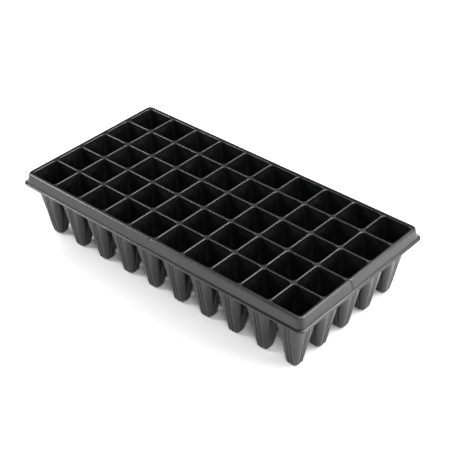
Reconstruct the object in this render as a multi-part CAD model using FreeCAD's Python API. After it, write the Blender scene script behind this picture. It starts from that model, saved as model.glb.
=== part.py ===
import FreeCAD, Part
import math
import os
from FreeCAD import Vector

# Deep plug tray with 50 cells, formed from one plastic sheet.
# Millimetres. +X runs along the long side, +Z is up, and the origin is the middle
# of the footprint, level with the feet of the cells. The sheet is divided into the
# zones that a grower would name: a flanged cell for each plant, the skirt that turns
# down round the deck, and the lip that flares out below the skirt. The zones meet
# face to face on the grid lines, so together they are the whole sheet.

# --- driving dimensions -------------------------------------------------------
LENGTH = 540.0          # over the lip, along X
WIDTH = 280.0           # over the lip, along Y
HEIGHT = 110.0          # from the feet to the top of the deck
COLUMNS = 10
ROWS = 5
PITCH = 52.0            # from cell to cell, the same both ways

SHEET = 1.2             # thickness at the deck, skirt and lip
CUP_WALL = 0.7          # the sheet is drawn thinner in the cells

# inside width of a cell at three depths below the deck: its walls are flat and steeper
# above the waist than below it
MOUTH_WIDTH = 48.0
WAIST_DEPTH = 66.0
WAIST_WIDTH = 33.0
FOOT_WIDTH = 16.4
CORNER_RADIUS = 7.0     # outside round of the corners above the waist
FOOT_ROUND = 6.0        # outside round of the corners and the foot below it

MOUTH_ROUND = 1.4       # rolled edge where the deck turns down into a cell
DRAIN_DIAMETER = 6.0

GROOVE_RADIUS = 1.7     # half-round grooves that guide the roots, two on each wall
GROOVE_DEPTH = 1.3
GROOVE_OFFSET = 2.6     # from the middle of the wall to the middle of a groove
GROOVE_TOP_DEPTH = 6.0  # below the deck

DECK_MARGIN = 3.4       # from the outermost grid line to the top of the skirt
DECK_ROUND = 2.2        # rolled edge from the deck to the skirt
DECK_RADIUS = 8.0       # plan radius of the skirt's corners, at the deck
SKIRT_DROP = 16.0       # from the top of the deck to the top of the lip
SKIRT_SPREAD = 3.4      # how far the skirt leans out over that drop
SKIRT_RADIUS = 9.0      # plan radius of the skirt's corners, at the lip
LIP_RADIUS = 10.0       # plan radius of the lip's corners
LIP_HEIGHT = 3.6        # from the top of the lip to the end of its turned-down edge
LIP_ROUND = 0.8         # rolled upper edge of the lip

# --- worked out from them -----------------------------------------------------
GRID_LENGTH = COLUMNS * PITCH
GRID_WIDTH = ROWS * PITCH
WAIST_HEIGHT = HEIGHT - WAIST_DEPTH
LIP_TOP = HEIGHT - SKIRT_DROP
PAST = 3.0              # how far a cutting tool runs past what it cuts
TINY = 0.01

Z_AXIS = Vector(0, 0, 1)
CENTRE = Vector(0, 0, 0)


def rounded_outline(length, width, radius, z):
    """Edges, in order, of a rectangle with round corners about the Z axis, at height z."""
    bulge = radius * (1.0 - math.sqrt(0.5))
    edges = []
    for turn in range(4):
        x, y = (length / 2.0, width / 2.0) if turn % 2 == 0 else (width / 2.0, length / 2.0)
        side = Part.LineSegment(Vector(x, radius - y, z), Vector(x, y - radius, z))
        corner = Part.Arc(
            Vector(x, y - radius, z),
            Vector(x - bulge, y - bulge, z),
            Vector(x - radius, y, z),
        )
        for curve in (side, corner):
            edge = curve.toShape()
            edge.rotate(CENTRE, Z_AXIS, 90.0 * turn)
            edges.append(edge)
    return edges


def flat_face(points):
    """Flat face inside a ring of points."""
    return Part.Face(Part.makePolygon(points + points[:1]))


def side_face(lower, upper):
    """Face between two matching edges: flat between straight ones, ruled between arcs."""
    if isinstance(lower.Curve, Part.Line):
        points = [lower.firstVertex().Point, lower.lastVertex().Point]
        points += [upper.lastVertex().Point, upper.firstVertex().Point]
        return flat_face(points)
    return Part.makeRuledSurface(lower, upper)


def tapered_block(outlines):
    """Solid through a stack of rounded outlines, closed by a flat face at each end."""
    faces = []
    for upper, lower in zip(outlines, outlines[1:]):
        for pair in zip(lower, upper):
            faces.append(side_face(*pair))
    for end in (outlines[0], outlines[-1]):
        faces.append(Part.Face(Part.Wire(end)))
    return Part.Solid(Part.Shell(faces))


def rounded_block(length, width, radius, bottom, top):
    """Upright solid with a rounded rectangle for its plan."""
    face = Part.Face(Part.Wire(rounded_outline(length, width, radius, bottom)))
    return face.extrude(Vector(0, 0, top - bottom))


def edges_at(shape, z):
    """Edges of a shape that lie flat at height z."""
    found = []
    for edge in shape.Edges:
        box = edge.BoundBox
        if max(abs(box.ZMin - z), abs(box.ZMax - z)) < TINY:
            found.append(edge)
    return found


# --- cells --------------------------------------------------------------------
def square_corners(width, z):
    """Corners, in order, of a square about the Z axis at height z."""
    half = width / 2.0
    places = ((-half, -half), (half, -half), (half, half), (-half, half))
    return [Vector(x, y, z) for x, y in places]


def pyramid(width, taper, bottom, radius, round_bottom):
    """Square block, so wide at the bottom and wider by taper for each mm up, with round corners."""
    lower = square_corners(width, bottom)
    upper = square_corners(width + taper * (HEIGHT - bottom), HEIGHT)
    faces = []
    for side in range(4):
        after = (side + 1) % 4
        faces.append(flat_face([lower[side], lower[after], upper[after], upper[side]]))
    block = Part.Solid(Part.Shell(faces + [flat_face(upper), flat_face(lower)]))
    edges = [edge for edge in block.Edges if edge.BoundBox.ZLength > TINY]
    if round_bottom:
        edges += edges_at(block, bottom)
    return block.makeFillet(radius, edges)


def cell_solid(offset, floor):
    """A cell as a solid block, set out by offset from its inside, down to floor."""
    upper_taper = (MOUTH_WIDTH - WAIST_WIDTH) / WAIST_DEPTH
    lower_taper = (WAIST_WIDTH - FOOT_WIDTH) / WAIST_HEIGHT
    upper_width = WAIST_WIDTH - upper_taper * (WAIST_HEIGHT - floor) + 2.0 * offset
    lower_width = FOOT_WIDTH + lower_taper * floor + 2.0 * offset
    inset = CUP_WALL - offset
    upper = pyramid(upper_width, upper_taper, floor, CORNER_RADIUS - inset, False)
    lower = pyramid(lower_width, lower_taper, floor, FOOT_ROUND - inset, True)
    return upper.common(lower)


def rod(start, end, radius, overrun):
    """Round bar from start to end, carried on past its end by overrun."""
    along = end - start
    return Part.makeCylinder(radius, along.Length + overrun, start, along)


def groove_tools(radius):
    """Round bars that lie in all the grooves of a cell, at the given bar radius."""
    stand_off = CUP_WALL + GROOVE_RADIUS - GROOVE_DEPTH
    mouth = Vector(MOUTH_WIDTH / 2.0 + stand_off, 0, HEIGHT)
    waist = Vector(WAIST_WIDTH / 2.0 + stand_off, 0, WAIST_HEIGHT)
    foot = Vector(FOOT_WIDTH / 2.0 + stand_off, 0, 0)
    top = mouth + (waist - mouth) * (GROOVE_TOP_DEPTH / WAIST_DEPTH)
    bars = [
        rod(top, waist, radius, PAST),
        rod(foot, waist, radius, PAST),
        Part.makeSphere(radius, top),
    ]
    tools = []
    for turn in range(4):
        for side in (-GROOVE_OFFSET, GROOVE_OFFSET):
            for bar in bars:
                tool = bar.copy()
                tool.translate(Vector(0, side, 0))
                tool.rotate(CENTRE, Z_AXIS, 90.0 * turn)
                tools.append(tool)
    return tools


def make_cell():
    """One cell with its share of the deck, centred on the Z axis."""
    outside = cell_solid(CUP_WALL, 0.0).cut(groove_tools(GROOVE_RADIUS))
    inside = cell_solid(0.0, CUP_WALL).cut(groove_tools(GROOVE_RADIUS + CUP_WALL))
    corner = Vector(-PITCH / 2.0, -PITCH / 2.0, HEIGHT - SHEET)
    deck = Part.makeBox(PITCH, PITCH, SHEET, corner)
    drain = Part.makeCylinder(DRAIN_DIAMETER / 2.0, 2.0 * PAST, Vector(0, 0, -PAST))
    cell = outside.fuse(deck).cut(inside).cut(drain).Solids[0]
    mouth_edges = []
    for edge in edges_at(cell, HEIGHT):
        if edge.BoundBox.DiagonalLength < PITCH - TINY:
            mouth_edges.append(edge)
    return cell.makeFillet(MOUTH_ROUND, mouth_edges)


# --- skirt and lip ------------------------------------------------------------
def skirt_block(inset, top, edge_round):
    """Solid inside the skirt's outer face, set in by inset, with a rolled top edge."""
    spread = 2.0 * (DECK_MARGIN - inset)
    lean = 2.0 * SKIRT_SPREAD * (HEIGHT - top) / SKIRT_DROP
    foot = spread + 2.0 * SKIRT_SPREAD
    upper = (GRID_LENGTH + spread + lean, GRID_WIDTH + spread + lean, DECK_RADIUS - inset, top)
    lower = (GRID_LENGTH + foot, GRID_WIDTH + foot, SKIRT_RADIUS - inset, LIP_TOP)
    block = tapered_block([rounded_outline(*upper), rounded_outline(*lower)])
    return block.makeFillet(edge_round, edges_at(block, top))


def make_skirt():
    """Deck border and skirt all the way round."""
    outside = skirt_block(0.0, HEIGHT, DECK_ROUND)
    inside = skirt_block(SHEET, HEIGHT - SHEET, DECK_ROUND - SHEET)
    corner = Vector(-GRID_LENGTH / 2.0, -GRID_WIDTH / 2.0, LIP_TOP - PAST)
    grid = Part.makeBox(GRID_LENGTH, GRID_WIDTH, SKIRT_DROP + 2.0 * PAST, corner)
    return outside.cut(inside).cut(grid)


def make_lip():
    """Flange and turned-down edge below the skirt, all the way round."""
    end = LIP_TOP - LIP_HEIGHT
    outside = rounded_block(LENGTH, WIDTH, LIP_RADIUS, end, LIP_TOP)
    outside = outside.makeFillet(LIP_ROUND, edges_at(outside, LIP_TOP))
    hollow = rounded_block(
        LENGTH - 2.0 * SHEET,
        WIDTH - 2.0 * SHEET,
        LIP_RADIUS - SHEET,
        end - PAST,
        LIP_TOP - SHEET,
    )
    reach = 2.0 * (DECK_MARGIN + SKIRT_SPREAD - SHEET)
    opening = rounded_block(
        GRID_LENGTH + reach,
        GRID_WIDTH + reach,
        SKIRT_RADIUS - SHEET,
        end - PAST,
        LIP_TOP + PAST,
    )
    return outside.cut(hollow).cut(opening)


def side_wedges():
    """Upright blocks that divide the rim into sides, mitred through the corners."""
    reach = LENGTH - GRID_LENGTH
    x = GRID_LENGTH / 2.0
    y = GRID_WIDTH / 2.0
    plans = {
        "front": ((-x, -y), (x, -y), (x + reach, -y - reach), (-x - reach, -y - reach)),
        "back": ((-x, y), (x, y), (x + reach, y + reach), (-x - reach, y + reach)),
        "left": ((-x, -y), (-x, y), (-x - reach, y + reach), (-x - reach, -y - reach)),
        "right": ((x, -y), (x, y), (x + reach, y + reach), (x + reach, -y - reach)),
    }
    wedges = {}
    for side, plan in plans.items():
        base = flat_face([Vector(px, py, 0) for px, py in plan])
        wedges[side] = base.extrude(Vector(0, 0, HEIGHT + PAST))
    return wedges


# --- writing ------------------------------------------------------------------
def write(name, shape):
    """Save one sub-part, which has to be a single sound solid."""
    solids = shape.Solids
    if len(solids) != 1 or not solids[0].isValid():
        raise ValueError(name + " is not one valid solid")
    solids[0].exportStep("parts/" + name + ".step")


def write_cells():
    """Cells in rows from the front and columns from the left."""
    cell = make_cell()
    for row in range(ROWS):
        for column in range(COLUMNS):
            copy = cell.copy()
            x = (column + 0.5) * PITCH - GRID_LENGTH / 2.0
            y = (row + 0.5) * PITCH - GRID_WIDTH / 2.0
            copy.translate(Vector(x, y, 0))
            write("cell_row%d_col%02d" % (row + 1, column + 1), copy)


def write_rim():
    """Skirt and lip, each as its four sides."""
    skirt = make_skirt()
    lip = make_lip()
    for side, wedge in side_wedges().items():
        write("skirt_" + side, skirt.common(wedge))
        write("lip_" + side, lip.common(wedge))


os.makedirs("parts", exist_ok=True)
write_cells()
write_rim()
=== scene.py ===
import math

import bpy
import numpy as np
from mathutils import Matrix, Vector


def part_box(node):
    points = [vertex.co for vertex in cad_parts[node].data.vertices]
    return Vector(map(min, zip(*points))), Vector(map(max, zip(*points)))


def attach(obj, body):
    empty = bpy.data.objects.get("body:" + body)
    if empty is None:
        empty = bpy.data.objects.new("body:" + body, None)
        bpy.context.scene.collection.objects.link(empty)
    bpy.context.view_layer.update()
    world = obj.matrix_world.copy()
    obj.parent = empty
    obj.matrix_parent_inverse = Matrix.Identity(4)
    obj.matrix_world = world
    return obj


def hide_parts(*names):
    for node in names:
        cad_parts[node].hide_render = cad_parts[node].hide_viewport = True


# Deep black plug tray: one formed sheet, built as patches of one continuous surface.
# Each cell and each side of the rim is such a patch, thickened into a closed piece that
# stands for the CAD node of the same name. Neighbouring patches meet on the grid lines
# with the same height and direction, so the joins don't show.
# Everything is in metres, in the frame of the CAD model: +X along the tray, +Z up.

MM = 0.001
TRAY_BODY = "root"

# --- cells: depths are measured down from the top of the deck ------------------
MOUTH_HALF = 24.6 * MM    # half the inside width, if the wall ran up to the deck
WALL_DRAFT = 0.104        # how fast the half width shrinks with depth
WALL_CURVE = 0.00045 / MM  # it also loses this much times the depth squared
MOUTH_RADIUS = 6.0 * MM   # inside corner radius at the mouth
BELLY_RADIUS = 9.4 * MM   # the same at its largest, at BELLY_DEPTH
FOOT_RADIUS = 4.0 * MM    # and at the level of the feet
BELLY_DEPTH = 62.0 * MM
DECK_SHEET = 1.2 * MM     # thickness of the deck and skirt
CUP_SHEET = 0.7 * MM      # the sheet is drawn thinner in the cells
CROWN_RADIUS = 1.3 * MM   # rolled edge where the deck turns down into a cell
FOOT_ROUND = 5.3 * MM     # inside round between the wall and the floor
DRAIN_RADIUS = 3.0 * MM
SOLE_TURN = 0.25          # how far the sole has turned from square to round at its edge
FACE_BULGE = 0.45 * MM    # how far a wall bellies out between its corners

# two grooves on each wall guide the roots; they are ribs on the inside
GROOVE_OFFSET = 2.6 * MM
GROOVE_HALF = 1.7 * MM
GROOVE_DEPTH = 2.3 * MM
GROOVE_START = 4.0 * MM
GROOVE_RUN_IN = 13.0 * MM
GROOVE_ZONE = 5.2 * MM    # half width of the finely divided strip that holds them
GROOVE_ZONE_SHARE = 0.85  # most of the flat of a wall that this strip may take
GROOVE_FADE = 0.8         # share of the foot's round over which the grooves run out
SOLE_CORNER = 0.98        # where that round ends, the corner radius as a share of what fits

# --- rim: offsets are measured outwards from the outermost grid line ------------
DECK_MARGIN = 3.4 * MM    # where the deck and the skirt would meet in a sharp edge
DECK_ROUND = 1.3 * MM     # rolled edge from the deck to the skirt
DECK_RADIUS = 8.0 * MM    # plan radius of the corners at DECK_MARGIN
CREASE_ROUND = 0.6 * MM   # hollow where the skirt turns out into the flange
FLANGE_LEAN = math.radians(6.0)  # how steeply the flange falls outwards
FLANGE_CUT = 0.35         # how far along the flange the skirt piece gives way to the lip
LIP_ROUND = 1.0 * MM      # round at the outer edge of the flange
LIP_TUCK = 2.4 * MM       # how far the turned-down edge leans in below that
LIP_SHEET = 1.1 * MM

# --- unevenness of a formed sheet ----------------------------------------------
SEED = 7
DECK_WAVE = 0.16 * MM     # heights of the waves in the deck, the skirt and the walls of the cells
SKIRT_WAVE = 0.30 * MM
WALL_WAVE = 0.10 * MM
CUP_LEAN = 0.35 * MM      # how far the foot of a cell may stand off its place, each way
WALL_WAVE_REACH = 20.0 * MM  # the wave of the walls grows to its full size over this depth
CREASE_Y = -26.0 * MM     # a faint upright crease on the right skirt
CREASE_WIDTH = 1.3 * MM
CREASE_DEPTH = 1.0 * MM
NICK = (-4.0 * MM, -2.2 * MM)   # a small nick in the front deck: x, and offset from DECK_MARGIN
NICK_WIDTH = 2.2 * MM
NICK_DEPTH = 1.0 * MM

# waves: radians for each metre along the axes named, then the angle that they start at
DECK_WAVE_X = (9.0, 1.3)
DECK_WAVE_Y = (14.0, 0.4)
DECK_WAVE_XY = (23.0, -17.0)
DECK_CROSS_SHARE = 0.6    # height of the slanting wave beside the other one's
SIDE_WAVE_YX = (47.0, 11.0)
FRONT_WAVE_X = (39.0, 0.9)
FRONT_FADE_X = 9.0
WALL_X_WAVE_XZ = (71.0, 53.0, 2.0)
WALL_X_WAVE_YZ = (67.0, -41.0)
WALL_Y_WAVE_YZ = (83.0, 59.0)
WALL_Y_WAVE_X = 61.0

# --- mesh divisions ---------------------------------------------------------------
GROOVE_CUTS = 24
FLAT_CUTS = 3
ARC_CUTS = 8
DECK_SHARES = (1.0, 0.5)  # places of the flat deck's rings, from its border to the mouth
CROWN_CUTS = 7
RUN_IN_SPACING = 1.8 * MM
WALL_CUTS = 18
FOOT_CUTS = 8
FLOOR_SHARES = (0.5, 1.0)  # places of the floor's rings, from the foot to the drain hole
RIM_SPACING = 1.5 * MM
RIM_ARC_CUTS = 8
ROLL_CUTS = 14
SKIRT_CUTS = 8
CREASE_CUTS = 6
LIP_CUTS = 7
TUCK_CUTS = 5
SHARP_EDGE = math.radians(50.0)

# --- plastic -------------------------------------------------------------------------
CELL_ROUGHNESS = 0.33
RIM_ROUGHNESS = 0.30
ROUGHNESS_LESS = 0.05     # mottling shifts the roughness down and up by this much
ROUGHNESS_MORE = 0.07
MOTTLE_SCALE = 28.0
MOTTLE_DETAIL = 5.0
DARK_TONE = (0.35, (0.0018, 0.0019, 0.0023, 1.0))   # place on the colour ramp, and colour
LIGHT_TONE = (0.75, (0.0045, 0.0046, 0.0052, 1.0))
GRAIN_SCALE = 1400.0
GRAIN_DETAIL = 3.0
GRAIN_STRENGTH = 0.12
GRAIN_HEIGHT = 0.05 * MM

# --- floor, surroundings and camera --------------------------------------------------
FLOOR_HALF = 4.0
FLOOR_COLOUR = (0.88, 0.88, 0.88, 1.0)
FLOOR_ROUGHNESS = 0.9
SURROUND_COLOUR = (1.0, 1.0, 1.0, 1.0)
SURROUND_STRENGTH = 0.44
CAMERA_AIM = (1.76 * MM, 18.44 * MM, 55.0 * MM)
CAMERA_DISTANCE = 1.76831
CAMERA_AZIMUTH = math.radians(41.375)    # from the front, towards the right
CAMERA_ELEVATION = math.radians(35.682)
CAMERA_ROLL = math.radians(-0.355)
SENSOR_WIDTH = 36.0       # sensor and lens are in millimetres, as Blender takes them
LENS = 94.02

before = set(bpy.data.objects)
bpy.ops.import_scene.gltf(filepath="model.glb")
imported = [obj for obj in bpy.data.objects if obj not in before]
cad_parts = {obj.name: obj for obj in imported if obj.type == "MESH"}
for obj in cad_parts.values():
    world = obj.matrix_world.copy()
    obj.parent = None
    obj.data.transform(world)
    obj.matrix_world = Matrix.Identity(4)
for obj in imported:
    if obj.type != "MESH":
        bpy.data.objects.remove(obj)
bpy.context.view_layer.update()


# --- sizes taken from the frame ---------------------------------------------------
def grid_from_frame():
    """Pitch, half sizes of the grid of cells, and how many cells there are each way."""
    names = [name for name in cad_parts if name.startswith("cell_")]
    rows = max(int(name[len("cell_row"):name.index("_col")]) for name in names)
    columns = max(int(name[-2:]) for name in names)
    low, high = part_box("cell_row1_col01")
    pitch = high.x - low.x
    return pitch, columns * pitch / 2, rows * pitch / 2, rows, columns


PITCH, GRID_X, GRID_Y, ROWS, COLUMNS = grid_from_frame()
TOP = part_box("cell_row1_col01")[1].z
LIP_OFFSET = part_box("lip_right")[1].x - GRID_X
LIP_RADIUS = LIP_OFFSET   # the lip's corners turn about the corners of the grid
LIP_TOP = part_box("lip_right")[1].z
LIP_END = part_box("lip_right")[0].z
SKIRT_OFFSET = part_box("skirt_right")[1].x - GRID_X
SKIRT_LEAN = math.atan2(SKIRT_OFFSET - DECK_MARGIN, TOP - LIP_TOP)

# the rolled edge of the deck: a round between the flat deck and the leaning skirt
ROLL_TANGENT = DECK_ROUND * math.tan((math.pi / 2 - SKIRT_LEAN) / 2)
ROLL_OFFSET = DECK_MARGIN - ROLL_TANGENT + DECK_ROUND


# --- small helpers -----------------------------------------------------------------
def smooth(t):
    """Eased step from 0 to 1."""
    t = np.clip(t, 0.0, 1.0)
    return t * t * (3.0 - 2.0 * t)


def outline_radius(offset):
    """Plan radius of the rim's corners at an offset from the grid."""
    share = (offset - DECK_MARGIN) / (LIP_OFFSET - DECK_MARGIN)
    return DECK_RADIUS + share * (LIP_RADIUS - DECK_RADIUS)


def roll_drop(distance):
    """How far the rolled edge of the deck has dropped, at a distance inside its outline."""
    reach = np.clip(DECK_ROUND - distance, 0.0, DECK_ROUND)
    return DECK_ROUND - np.sqrt(DECK_ROUND ** 2 - reach ** 2)


def distance_inside_roll(x, y):
    """Distance inside the rounded rectangle that the rolled edge ends on."""
    radius = outline_radius(ROLL_OFFSET)
    past_x = np.abs(x) - (GRID_X + ROLL_OFFSET - radius)
    past_y = np.abs(y) - (GRID_Y + ROLL_OFFSET - radius)
    outside = np.hypot(np.maximum(past_x, 0.0), np.maximum(past_y, 0.0))
    return radius - outside - np.minimum(np.maximum(past_x, past_y), 0.0)


def unevenness(points):
    """Shift of each point by which a formed sheet departs from its drawing."""
    x, y, z = points[..., 0], points[..., 1], points[..., 2]
    below = TOP - z
    height = np.clip(z / TOP, 0.0, 1.0)
    lift = np.sin(DECK_WAVE_X[0] * x + DECK_WAVE_X[1]) * np.cos(DECK_WAVE_Y[0] * y + DECK_WAVE_Y[1])
    lift = lift + DECK_CROSS_SHARE * np.sin(DECK_WAVE_XY[0] * x + DECK_WAVE_XY[1] * y)
    skirt = smooth(below / (TOP - LIP_TOP)) * (distance_inside_roll(x, y) < DECK_MARGIN)
    belly = smooth(below / WALL_WAVE_REACH) * height

    side_wave = np.sin(SIDE_WAVE_YX[0] * y + SIDE_WAVE_YX[1] * x)
    front_wave = np.sin(FRONT_WAVE_X[0] * x + FRONT_WAVE_X[1]) * np.cos(FRONT_FADE_X * x)
    along_x, along_z, start = WALL_X_WAVE_XZ
    wall_x = np.sin(along_x * x + along_z * z + start)
    wall_x = wall_x * np.cos(WALL_X_WAVE_YZ[0] * y + WALL_X_WAVE_YZ[1] * z)
    wall_y = np.cos(WALL_Y_WAVE_YZ[0] * y + WALL_Y_WAVE_YZ[1] * z) * np.sin(WALL_Y_WAVE_X * x)

    shift = np.zeros_like(points)
    shift[..., 0] = SKIRT_WAVE * skirt * side_wave + WALL_WAVE * belly * wall_x
    shift[..., 1] = SKIRT_WAVE * skirt * front_wave + WALL_WAVE * belly * wall_y
    shift[..., 2] = DECK_WAVE * lift * height

    on_right_skirt = (x > GRID_X) * (z > LIP_TOP + CREASE_ROUND)
    crease = np.exp(-((y - CREASE_Y) / CREASE_WIDTH) ** 2) * on_right_skirt
    shift[..., 0] -= CREASE_DEPTH * crease
    away = np.hypot(x - NICK[0], y + GRID_Y + NICK[1] + DECK_MARGIN) / NICK_WIDTH
    shift[..., 2] -= NICK_DEPTH * np.exp(-away ** 2) * (below < DECK_MARGIN)
    return shift


def surface_normals(grid, closed):
    """Unit normals of a grid of points. The second direction may be closed into a ring."""
    along = np.gradient(grid, axis=0)
    if closed:
        around = np.roll(grid, -1, axis=1) - np.roll(grid, 1, axis=1)
    else:
        around = np.gradient(grid, axis=1)
    normals = np.cross(around, along)
    return normals / np.linalg.norm(normals, axis=2, keepdims=True)


def sheet_piece(name, grid, thickness, closed, material):
    """Closed mesh of a sheet: its upper face is grid and it is thickness deep below that."""
    under = grid - surface_normals(grid, closed) * thickness[:, None, None]
    rings, count = grid.shape[:2]
    points = np.concatenate([grid.reshape(-1, 3), under.reshape(-1, 3)])
    index = np.arange(rings * count).reshape(rings, count)
    if closed:
        index = np.concatenate([index, index[:, :1]], axis=1)
    low = index + rings * count
    faces = []
    for a, b, c, d in (
        (index[:-1, :-1], index[:-1, 1:], index[1:, 1:], index[1:, :-1]),
        (low[:-1, :-1], low[1:, :-1], low[1:, 1:], low[:-1, 1:]),
        (index[0, :-1], low[0, :-1], low[0, 1:], index[0, 1:]),
        (index[-1, :-1], index[-1, 1:], low[-1, 1:], low[-1, :-1]),
    ):
        faces.append(np.stack([a, b, c, d], axis=-1).reshape(-1, 4))
    if not closed:
        for a, b, c, d in (
            (index[:-1, 0], index[1:, 0], low[1:, 0], low[:-1, 0]),
            (index[:-1, -1], low[:-1, -1], low[1:, -1], index[1:, -1]),
        ):
            faces.append(np.stack([a, b, c, d], axis=-1).reshape(-1, 4))
    mesh = bpy.data.meshes.new(name)
    mesh.from_pydata(points.tolist(), [], np.concatenate(faces).tolist())
    mesh.polygons.foreach_set("use_smooth", [True] * len(mesh.polygons))
    mesh.set_sharp_from_angle(angle=SHARP_EDGE)
    mesh.materials.append(material)
    mesh.update()
    piece = bpy.data.objects.new(name, mesh)
    bpy.context.scene.collection.objects.link(piece)
    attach(piece, TRAY_BODY)
    return piece


# --- cells --------------------------------------------------------------------------
def wall_half(depth):
    """Half the inside width of a cell at a depth."""
    return MOUTH_HALF - WALL_DRAFT * depth - WALL_CURVE * depth ** 2


def corner_radius(depth):
    """Inside corner radius of a cell at a depth."""
    if depth < BELLY_DEPTH:
        return MOUTH_RADIUS + (BELLY_RADIUS - MOUTH_RADIUS) * smooth(depth / BELLY_DEPTH)
    share = smooth((depth - BELLY_DEPTH) / (TOP - BELLY_DEPTH))
    return BELLY_RADIUS + (FOOT_RADIUS - BELLY_RADIUS) * share


def four_sides(side):
    """A whole ring from the points of its +X side and the corner after it."""
    x, y = side
    ring = []
    for _ in range(4):
        ring.append(np.stack([x, y], axis=1))
        x, y = -y, x
    return np.concatenate(ring)


def across_wall(flat):
    """Where the points of a wall lie, from corner to corner, if its flat is that long."""
    zone = min(GROOVE_ZONE, GROOVE_ZONE_SHARE * flat)
    outer = np.linspace(flat, zone, FLAT_CUTS + 1)[:-1]
    return np.concatenate([-outer, np.linspace(-zone, zone, GROOVE_CUTS + 1), outer[::-1]])


ARC_ANGLES = np.linspace(0.0, math.pi / 2, ARC_CUTS + 1)[1:-1]


def wall_ring(half, radius, groove, bulge):
    """Ring of points round a cell, with round corners, grooves and bellied walls."""
    flat = half - radius
    s = across_wall(flat)
    near = np.clip(np.abs(np.abs(s) - GROOVE_OFFSET) / GROOVE_HALF, 0.0, 1.0)
    x = half - groove * GROOVE_DEPTH * 0.5 * (1.0 + np.cos(math.pi * near))
    x = x + bulge * FACE_BULGE * np.clip(1.0 - (s / half) ** 2, 0.0, 1.0)
    arc_x = flat + radius * np.cos(ARC_ANGLES)
    arc_y = flat + radius * np.sin(ARC_ANGLES)
    swell = bulge * FACE_BULGE * (1.0 - (flat / half) ** 2)
    arc_x = arc_x + swell * np.cos(ARC_ANGLES) ** 2
    arc_y = arc_y + swell * np.sin(ARC_ANGLES) ** 2
    return four_sides((np.concatenate([x, arc_x]), np.concatenate([s, arc_y])))


def square_ring(half, radius):
    """Ring on the square border of a cell's share of the deck, straight out from the mouth."""
    flat = half - radius
    s = across_wall(flat)
    border = PITCH / 2
    reach = border - flat
    arc_x = flat + reach * np.minimum(1.0, 1.0 / np.tan(ARC_ANGLES))
    arc_y = flat + reach * np.minimum(1.0, np.tan(ARC_ANGLES))
    x = np.concatenate([np.full_like(s, border), arc_x])
    return four_sides((x, np.concatenate([s, arc_y])))


def with_height(ring, height):
    """Ring in the plane to points in space."""
    return np.concatenate([ring, np.broadcast_to(height, ring.shape[:1])[:, None]], axis=1)


def deck_rings(wall_slope):
    """Rings from the border of the deck, over the rolled edge, to the top of the wall."""
    end_angle = math.pi - math.atan(wall_slope)
    end_depth = CROWN_RADIUS * (1.0 - math.sin(end_angle))
    edge = wall_half(end_depth) - CROWN_RADIUS * (1.0 + math.cos(end_angle))
    mouth = wall_ring(edge, MOUTH_RADIUS, 0.0, 0.0)
    border = square_ring(edge, MOUTH_RADIUS)
    reach = np.linalg.norm(border - mouth, axis=1)
    outwards = (border - mouth) / reach[:, None]
    rings = []
    for share in DECK_SHARES:
        distance = CROWN_RADIUS + share * (reach - CROWN_RADIUS)
        rings.append(with_height(mouth + outwards * distance[:, None], TOP))
    for angle in np.linspace(math.pi / 2, end_angle, CROWN_CUTS + 1):
        distance = CROWN_RADIUS * (1.0 + math.cos(angle))
        height = TOP - CROWN_RADIUS * (1.0 - math.sin(angle))
        rings.append(with_height(mouth + outwards * distance, height))
    return rings, end_depth


def foot_rings():
    """Rings over the rounded foot and the floor to the drain hole."""
    slope = WALL_DRAFT + 2.0 * WALL_CURVE * TOP
    lean = math.atan(slope)
    floor = CUP_SHEET
    tangent = FOOT_ROUND * math.tan((math.pi / 2 - lean) / 2)
    centre = wall_half(TOP - floor) - tangent
    start_half = centre + FOOT_ROUND * math.cos(lean)
    start_depth = TOP - (floor + FOOT_ROUND - FOOT_ROUND * math.sin(lean))
    radius = corner_radius(start_depth)
    start = wall_ring(start_half, radius, 0.0, 0.0)
    bearing = np.arctan2(start[:, 1], start[:, 0])
    circle = np.stack([np.cos(bearing), np.sin(bearing)], axis=1)
    rings = []
    for angle in np.linspace(lean, math.pi / 2, FOOT_CUTS + 1):
        half = centre + FOOT_ROUND * math.cos(angle)
        turned = (angle - lean) / (math.pi / 2 - lean)
        groove = 1.0 - smooth(turned / GROOVE_FADE)
        shrunk = radius + (min(radius, half) * SOLE_CORNER - radius) * turned
        square = wall_ring(half, shrunk, groove, 0.0)
        ring = square + (circle * half - square) * SOLE_TURN * smooth(turned)
        rings.append(with_height(ring, floor + FOOT_ROUND * (1.0 - math.sin(angle))))
    drain = circle * DRAIN_RADIUS
    for share in FLOOR_SHARES:
        rings.append(with_height(ring + share * (drain - ring), floor))
    return rings, start_depth


def cell_surface():
    """Upper face of one cell about the Z axis, and the sheet's thickness at each ring."""
    deck, wall_start = deck_rings(WALL_DRAFT)
    foot, wall_end = foot_rings()
    depths = list(np.arange(GROOVE_START, GROOVE_START + GROOVE_RUN_IN, RUN_IN_SPACING))
    depths += list(np.linspace(depths[-1], wall_end, WALL_CUTS + 1)[1:-1])
    walls = []
    for depth in depths:
        groove = smooth((depth - GROOVE_START) / GROOVE_RUN_IN)
        bulge = math.sin(math.pi * (depth - wall_start) / (wall_end - wall_start))
        ring = wall_ring(wall_half(depth), corner_radius(depth), groove, bulge)
        walls.append(with_height(ring, TOP - depth))
    rings = np.array(deck + walls + foot)
    thickness = np.full(len(rings), CUP_SHEET)
    flat = len(DECK_SHARES) + 1
    thickness[:flat] = DECK_SHEET
    thickness[flat:len(deck)] = np.linspace(DECK_SHEET, CUP_SHEET, len(deck) - flat)
    return rings, thickness


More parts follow.
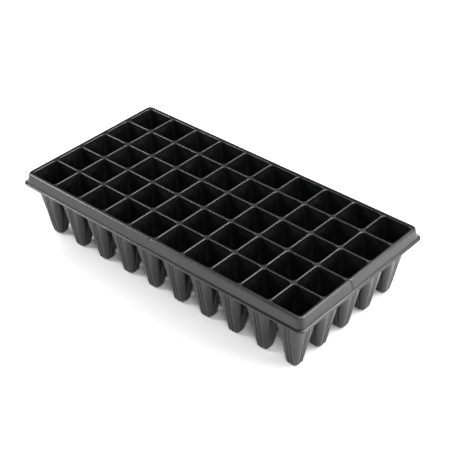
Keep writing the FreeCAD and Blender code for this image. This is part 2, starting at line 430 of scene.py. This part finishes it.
def make_cells(material):
    """A piece for each cell, each a little different, as cells drawn from a sheet are."""
    surface, thickness = cell_surface()
    generator = np.random.default_rng(SEED)
    for row in range(ROWS):
        for column in range(COLUMNS):
            name = "cell_row%d_col%02d" % (row + 1, column + 1)
            lean = generator.uniform(-CUP_LEAN, CUP_LEAN, 2)
            grid = surface.copy()
            grid[..., :2] += lean * ((1.0 - grid[..., 2:] / TOP) ** 2)
            grid[..., 0] += (column + 0.5) * PITCH - GRID_X
            grid[..., 1] += (row + 0.5) * PITCH - GRID_Y
            grid += unevenness(grid)
            piece = sheet_piece("formed_" + name, grid, thickness, True, material)
            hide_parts(name)


# --- rim ------------------------------------------------------------------------------
def rim_profile():
    """Points of the skirt and lip below the rolled edge, as offset and height, and the skirt's count."""
    turn = math.pi / 2 - SKIRT_LEAN - FLANGE_LEAN
    crease = CREASE_ROUND * math.tan(turn / 2)
    crease_start = TOP - LIP_TOP - crease * math.cos(SKIRT_LEAN)
    roll_end = ROLL_TANGENT * math.cos(SKIRT_LEAN)
    profile = []
    for depth in np.linspace(roll_end, crease_start, SKIRT_CUTS + 1)[1:]:
        profile.append((DECK_MARGIN + depth * math.tan(SKIRT_LEAN), TOP - depth))
    offset, height = profile[-1]
    centre = offset + CREASE_ROUND * math.cos(SKIRT_LEAN)
    middle = height + CREASE_ROUND * math.sin(SKIRT_LEAN)
    for angle in np.linspace(math.pi + SKIRT_LEAN, 1.5 * math.pi - FLANGE_LEAN, CREASE_CUTS + 1)[1:]:
        profile.append((centre + CREASE_ROUND * math.cos(angle), middle + CREASE_ROUND * math.sin(angle)))
    offset, height = profile[-1]
    edge = LIP_OFFSET - LIP_ROUND
    flange = edge + LIP_ROUND * math.sin(FLANGE_LEAN) - offset
    fall = math.tan(FLANGE_LEAN)
    profile.append((offset + FLANGE_CUT * flange, height - FLANGE_CUT * flange * fall))
    skirt_count = len(profile)
    middle = height - flange * fall - LIP_ROUND * math.cos(FLANGE_LEAN)
    for angle in np.linspace(math.pi / 2 - FLANGE_LEAN, 0.0, LIP_CUTS + 1):
        profile.append((edge + LIP_ROUND * math.cos(angle), middle + LIP_ROUND * math.sin(angle)))
    for share in np.linspace(0.0, 1.0, TUCK_CUTS + 1)[1:]:
        profile.append((LIP_OFFSET - LIP_TUCK * share, middle + share * (LIP_END - middle)))
    return profile, skirt_count


def side_positions(length):
    """Places along a side, from -1 to 1, between its corners."""
    count = 2 * round(length / RIM_SPACING / 2)
    return np.linspace(-1.0, 1.0, count + 1)


def side_outline(offset, reach, half):
    """One side of the rim's outline at an offset, from mitre to mitre. The side faces +X."""
    radius = outline_radius(offset)
    flat = half + offset - radius
    angles = np.linspace(0.0, math.pi / 4, RIM_ARC_CUTS + 1)[1:]
    y = side_positions(2.0 * half) * flat
    x = np.full_like(y, reach + offset)
    arc_x = reach + offset - radius + radius * np.cos(angles)
    arc_y = flat + radius * np.sin(angles)
    x = np.concatenate([arc_x[::-1], x, arc_x])
    y = np.concatenate([-arc_y[::-1], y, arc_y])
    return np.stack([x, y], axis=1)


def side_grid_line(reach, half):
    """The same side's grid line, with a point straight inside each of the rolled edge's."""
    inset = outline_radius(ROLL_OFFSET) - ROLL_OFFSET
    angles = np.linspace(0.0, math.pi / 4, RIM_ARC_CUTS + 1)[1:]
    y = side_positions(2.0 * half) * (half - inset)
    arc_y = half - inset + inset * np.tan(angles)
    y = np.concatenate([-arc_y[::-1], y, arc_y])
    return np.stack([np.full_like(y, reach), y], axis=1)


def rim_surface(reach, half):
    """Upper face of one side of the rim, from the grid line to the end of the lip."""
    inner = side_grid_line(reach, half)
    outer = side_outline(ROLL_OFFSET, reach, half)
    width = np.linalg.norm(outer - inner, axis=1)
    last = DECK_ROUND * (1.0 - math.cos(SKIRT_LEAN))
    end = np.arcsin(1.0 - last / width)
    rings = []
    for step in np.linspace(0.0, 1.0, ROLL_CUTS + 1):
        distance = width * (1.0 - np.sin(step * end))
        ring = outer + (inner - outer) * (distance / width)[:, None]
        rings.append(with_height(ring, TOP - roll_drop(distance)))
    profile, skirt_count = rim_profile()
    for offset, height in profile:
        rings.append(with_height(side_outline(offset, reach, half), height))
    return np.array(rings), len(rings) - len(profile) + skirt_count


def make_rim(material):
    """Skirt and lip as a piece each for the four sides."""
    sides = {
        "right": (0, GRID_X, GRID_Y),
        "back": (1, GRID_Y, GRID_X),
        "left": (2, GRID_X, GRID_Y),
        "front": (3, GRID_Y, GRID_X),
    }
    for side, (turns, reach, half) in sides.items():
        grid, cut = rim_surface(reach, half)
        for _ in range(turns):
            grid = np.stack([-grid[..., 1], grid[..., 0], grid[..., 2]], axis=-1)
        grid = grid + unevenness(grid)
        parts = (
            ("skirt_" + side, grid[:cut], DECK_SHEET),
            ("lip_" + side, grid[cut - 1:], LIP_SHEET),
        )
        for name, patch, depth in parts:
            thickness = np.full(len(patch), depth)
            piece = sheet_piece("formed_" + name, patch, thickness, False, material)
            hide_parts(name)


# --- materials ----------------------------------------------------------------------
def noise(nodes, links, scale, detail):
    """Noise laid out in the object's own metres."""
    place = nodes.new("ShaderNodeTexCoord")
    texture = nodes.new("ShaderNodeTexNoise")
    texture.inputs["Scale"].default_value = scale
    texture.inputs["Detail"].default_value = detail
    links.new(place.outputs["Object"], texture.inputs["Vector"])
    return texture.outputs["Fac"]


def black_plastic(name, roughness):
    """Near-black formed plastic: satin, softly mottled and finely grained."""
    material = bpy.data.materials.new(name)
    material.use_nodes = True
    nodes = material.node_tree.nodes
    links = material.node_tree.links
    shader = nodes["Principled BSDF"]

    mottle = noise(nodes, links, MOTTLE_SCALE, MOTTLE_DETAIL)
    tone = nodes.new("ShaderNodeValToRGB")
    for element, (position, colour) in zip(tone.color_ramp.elements, (DARK_TONE, LIGHT_TONE)):
        element.position = position
        element.color = colour
    links.new(mottle, tone.inputs["Fac"])
    links.new(tone.outputs["Color"], shader.inputs["Base Color"])

    sheen = nodes.new("ShaderNodeMapRange")
    sheen.inputs["To Min"].default_value = roughness - ROUGHNESS_LESS
    sheen.inputs["To Max"].default_value = roughness + ROUGHNESS_MORE
    links.new(mottle, sheen.inputs["Value"])
    links.new(sheen.outputs["Result"], shader.inputs["Roughness"])

    bump = nodes.new("ShaderNodeBump")
    bump.inputs["Strength"].default_value = GRAIN_STRENGTH
    bump.inputs["Distance"].default_value = GRAIN_HEIGHT
    links.new(noise(nodes, links, GRAIN_SCALE, GRAIN_DETAIL), bump.inputs["Height"])
    links.new(bump.outputs["Normal"], shader.inputs["Normal"])
    return material


# --- studio ---------------------------------------------------------------------------
def make_floor():
    """Plain pale floor."""
    half = FLOOR_HALF
    corners = [(-half, -half, 0.0), (half, -half, 0.0), (half, half, 0.0), (-half, half, 0.0)]
    mesh = bpy.data.meshes.new("floor")
    mesh.from_pydata(corners, [], [(0, 1, 2, 3)])
    material = bpy.data.materials.new("floor_paper")
    material.use_nodes = True
    shader = material.node_tree.nodes["Principled BSDF"]
    shader.inputs["Base Color"].default_value = FLOOR_COLOUR
    shader.inputs["Roughness"].default_value = FLOOR_ROUGHNESS
    mesh.materials.append(material)
    floor = bpy.data.objects.new("floor", mesh)
    bpy.context.scene.collection.objects.link(floor)


def area_light(name, place, aim, size, watts):
    """Softbox at place, facing aim."""
    data = bpy.data.lights.new(name, "AREA")
    data.shape = "RECTANGLE"
    data.size, data.size_y = size
    data.energy = watts
    light = bpy.data.objects.new(name, data)
    light.location = place
    light.rotation_euler = (Vector(aim) - Vector(place)).to_track_quat("-Z", "Y").to_euler()
    light.visible_camera = False
    bpy.context.scene.collection.objects.link(light)


def make_light():
    """Bright white surroundings and soft boxes."""
    world = bpy.data.worlds.new("studio")
    world.use_nodes = True
    background = world.node_tree.nodes["Background"]
    background.inputs["Color"].default_value = SURROUND_COLOUR
    background.inputs["Strength"].default_value = SURROUND_STRENGTH
    bpy.context.scene.world = world
    area_light("softbox_back", place=(0.6, 1.1, 2.0), aim=(0.6, 1.1, 0.0),
               size=(2.0, 1.1), watts=112.0)
    area_light("softbox_left", place=(-1.8, -0.3, 1.9), aim=(-1.8, -0.3, 0.0),
               size=(0.7, 1.6), watts=34.0)
    area_light("softbox_front_left", place=(-1.6, -1.3, 1.0), aim=(-0.2, 0.0, 0.1),
               size=(0.5, 0.55), watts=34.0)
    area_light("softbox_camera_side", place=(1.2, -1.1, 1.4), aim=(0.3, -0.1, 0.0),
               size=(0.8, 0.8), watts=20.0)
    area_light("softbox_right", place=(1.3, 0.5, 0.5), aim=(0.5, 0.1, 0.0),
               size=(0.8, 0.5), watts=13.0)


def make_camera():
    """Camera at the picture's angle, far enough away for its flat perspective."""
    back = Vector((
        math.sin(CAMERA_AZIMUTH) * math.cos(CAMERA_ELEVATION),
        -math.cos(CAMERA_AZIMUTH) * math.cos(CAMERA_ELEVATION),
        math.sin(CAMERA_ELEVATION),
    ))
    data = bpy.data.cameras.new("camera")
    data.sensor_width = SENSOR_WIDTH
    data.lens = LENS
    camera = bpy.data.objects.new("camera", data)
    place = Matrix.Translation(Vector(CAMERA_AIM) + back * CAMERA_DISTANCE)
    facing = back.to_track_quat("Z", "Y").to_matrix().to_4x4()
    camera.matrix_world = place @ facing @ Matrix.Rotation(CAMERA_ROLL, 4, "Z")
    bpy.context.scene.collection.objects.link(camera)
    bpy.context.scene.camera = camera


make_camera()
make_light()
make_floor()
make_cells(black_plastic("cell_black", CELL_ROUGHNESS))
make_rim(black_plastic("rim_black", RIM_ROUGHNESS))
bpy.context.scene.view_settings.view_transform = "Standard"
